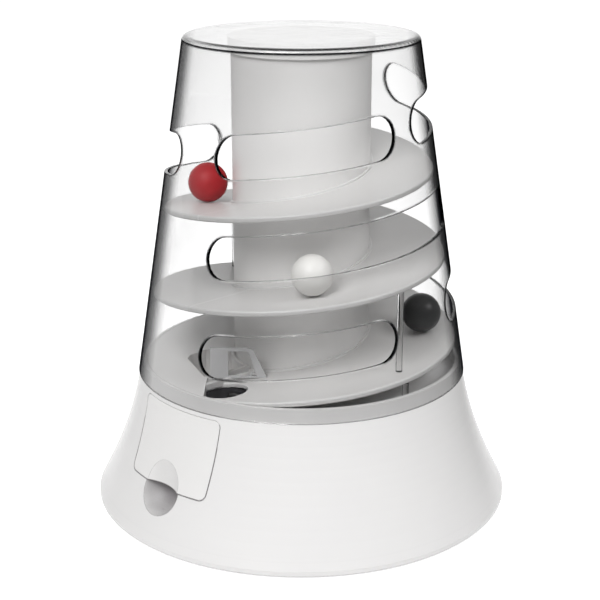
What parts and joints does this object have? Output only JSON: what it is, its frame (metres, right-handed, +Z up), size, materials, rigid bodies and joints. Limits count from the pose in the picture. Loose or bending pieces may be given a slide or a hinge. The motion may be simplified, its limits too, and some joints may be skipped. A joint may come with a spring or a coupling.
{
  "type": "cat ball track toy",
  "caption": "Cat toy with a flared base, a helical ball track round a column, a clear slotted cone cover, and a battery drive whose screw lifts the balls back to the top.",
  "frame": {"origin": "on the floor under the axis of the column", "axes": "+Z up along the column, -Y towards the front, +X to the right as seen from the front"},
  "size_m": [0.3, 0.3, 0.3339],
  "materials": {
    "white_gloss": "gloss",
    "white_satin": "satin",
    "column_white": "satin",
    "clear": "clear gloss",
    "clear_rod": "clear gloss",
    "dark_plastic": "matte",
    "rubber_grey": "matte",
    "steel": "brushed",
    "bronze": "satin",
    "gear_nylon": "satin",
    "screw_plastic": "satin",
    "circuit_green": "matte",
    "cell_green": "gloss",
    "red_ball": "satin",
    "white_ball": "satin",
    "black_ball": "satin"
  },
  "bodies": {
    "tower": {"base_shell": "white_gloss", "base_plate": "white_satin", "rubber_feet": "rubber_grey", "base_screws": "steel", "battery_box": "dark_plastic", "battery_cells": "cell_green", "contact_springs": "steel", "contact_plates": "steel", "control_board": "circuit_green", "power_switch": "dark_plastic", "gear_motor": "steel", "gear_axle": "steel", "gear_plate": "white_satin", "lower_bush": "bronze", "middle_bush": "bronze", "upper_bush": "bronze", "column": "column_white", "bearing_spider": "white_satin", "top_cap": "column_white", "drop_chute": "white_satin", "collector_deck": "white_satin", "column_guard": "white_satin", "track_lower": "white_satin", "track_middle": "white_satin", "track_upper": "white_satin", "track_posts": "clear_rod"},
    "cover": {"clear_cover": "clear"},
    "door": {"battery_door": "white_gloss"},
    "knob": {"switch_knob": "screw_plastic"},
    "screw": {"screw_shaft": "steel", "lift_screw": "screw_plastic", "main_gear": "gear_nylon"},
    "compound": {"compound_gear": "gear_nylon"},
    "pinion": {"motor_pinion": "bronze"},
    "red": {"ball_red": "red_ball"},
    "white": {"ball_white": "white_ball"},
    "black": {"ball_black": "black_ball"}
  },
  "joints": [
    {"name": "cover_lift", "type": "slide", "parent": "tower", "child": "cover", "axis": [0, 0, 1], "range_m": [0, 0.25]},
    {"name": "door_hinge", "type": "hinge", "parent": "tower", "child": "door", "pos_m": [-0.08461, -0.08228, 0.0918], "axis": [-0.6972, 0.7169, 0], "range_deg": [0, 70]},
    {"name": "switch_slide", "type": "slide", "parent": "tower", "child": "knob", "axis": [1, 0, 0], "range_m": [-0.003, 0.003]},
    {"name": "screw_spin", "type": "hinge", "parent": "tower", "child": "screw", "pos_m": [0, 0, 0], "axis": [0, 0, 1], "continuous": true},
    {"name": "compound_spin", "type": "hinge", "parent": "tower", "child": "compound", "pos_m": [0.03897, 0.0225, 0], "axis": [0, 0, 1], "continuous": true},
    {"name": "pinion_spin", "type": "hinge", "parent": "tower", "child": "pinion", "pos_m": [0.06149, 0.0355, 0], "axis": [0, 0, 1], "continuous": true},
    {"name": "red_roll", "type": "hinge", "parent": "tower", "child": "red", "pos_m": [0, 0, 0.22975], "axis": [0.0053, 0.1456, 0.9893], "range_deg": [-60, 0]},
    {"name": "white_roll", "type": "hinge", "parent": "tower", "child": "white", "pos_m": [0, 0, 0.18521], "axis": [-0.1241, -0.0115, 0.9922], "range_deg": [-60, 0]},
    {"name": "black_roll", "type": "hinge", "parent": "tower", "child": "black", "pos_m": [0, 0, 0.13734], "axis": [-0.0138, -0.1107, 0.9938], "range_deg": [-30, 0]}
  ],
  "couplings": [
    {"joint": "compound_spin", "follows": "screw_spin", "ratio": -4},
    {"joint": "pinion_spin", "follows": "screw_spin", "ratio": 13.333}
  ]
}
